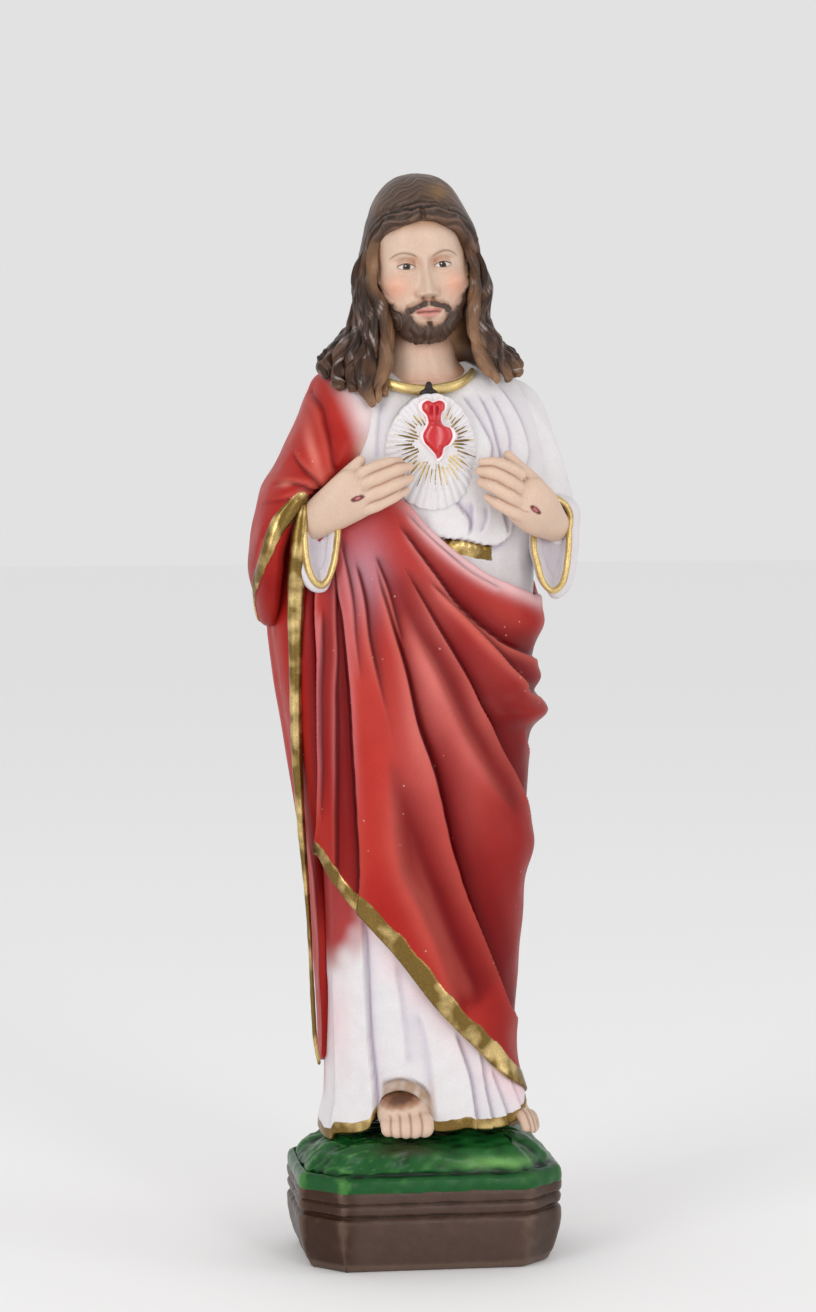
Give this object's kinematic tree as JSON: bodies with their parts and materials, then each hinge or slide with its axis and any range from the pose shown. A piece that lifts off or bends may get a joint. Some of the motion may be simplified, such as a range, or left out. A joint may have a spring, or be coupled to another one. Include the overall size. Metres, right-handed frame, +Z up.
{
  "type": "sacred heart statue",
  "caption": "Standing robed figure with long hair and hands laid on the chest beside a heart in a halo, on a chamfered plinth with a grassy mound, cast in one piece.",
  "frame": {"origin": "middle of the plinth's flat underside, on the surface the statue stands on", "axes": "+Z up, the figure faces -Y, +X towards the figure's left-hand side"},
  "size_m": [0.0919, 0.0585, 0.2992],
  "materials": {
    "painted_plaster": "satin"
  },
  "bodies": {
    "root": {"statue": "painted_plaster"}
  },
  "joints": []
}
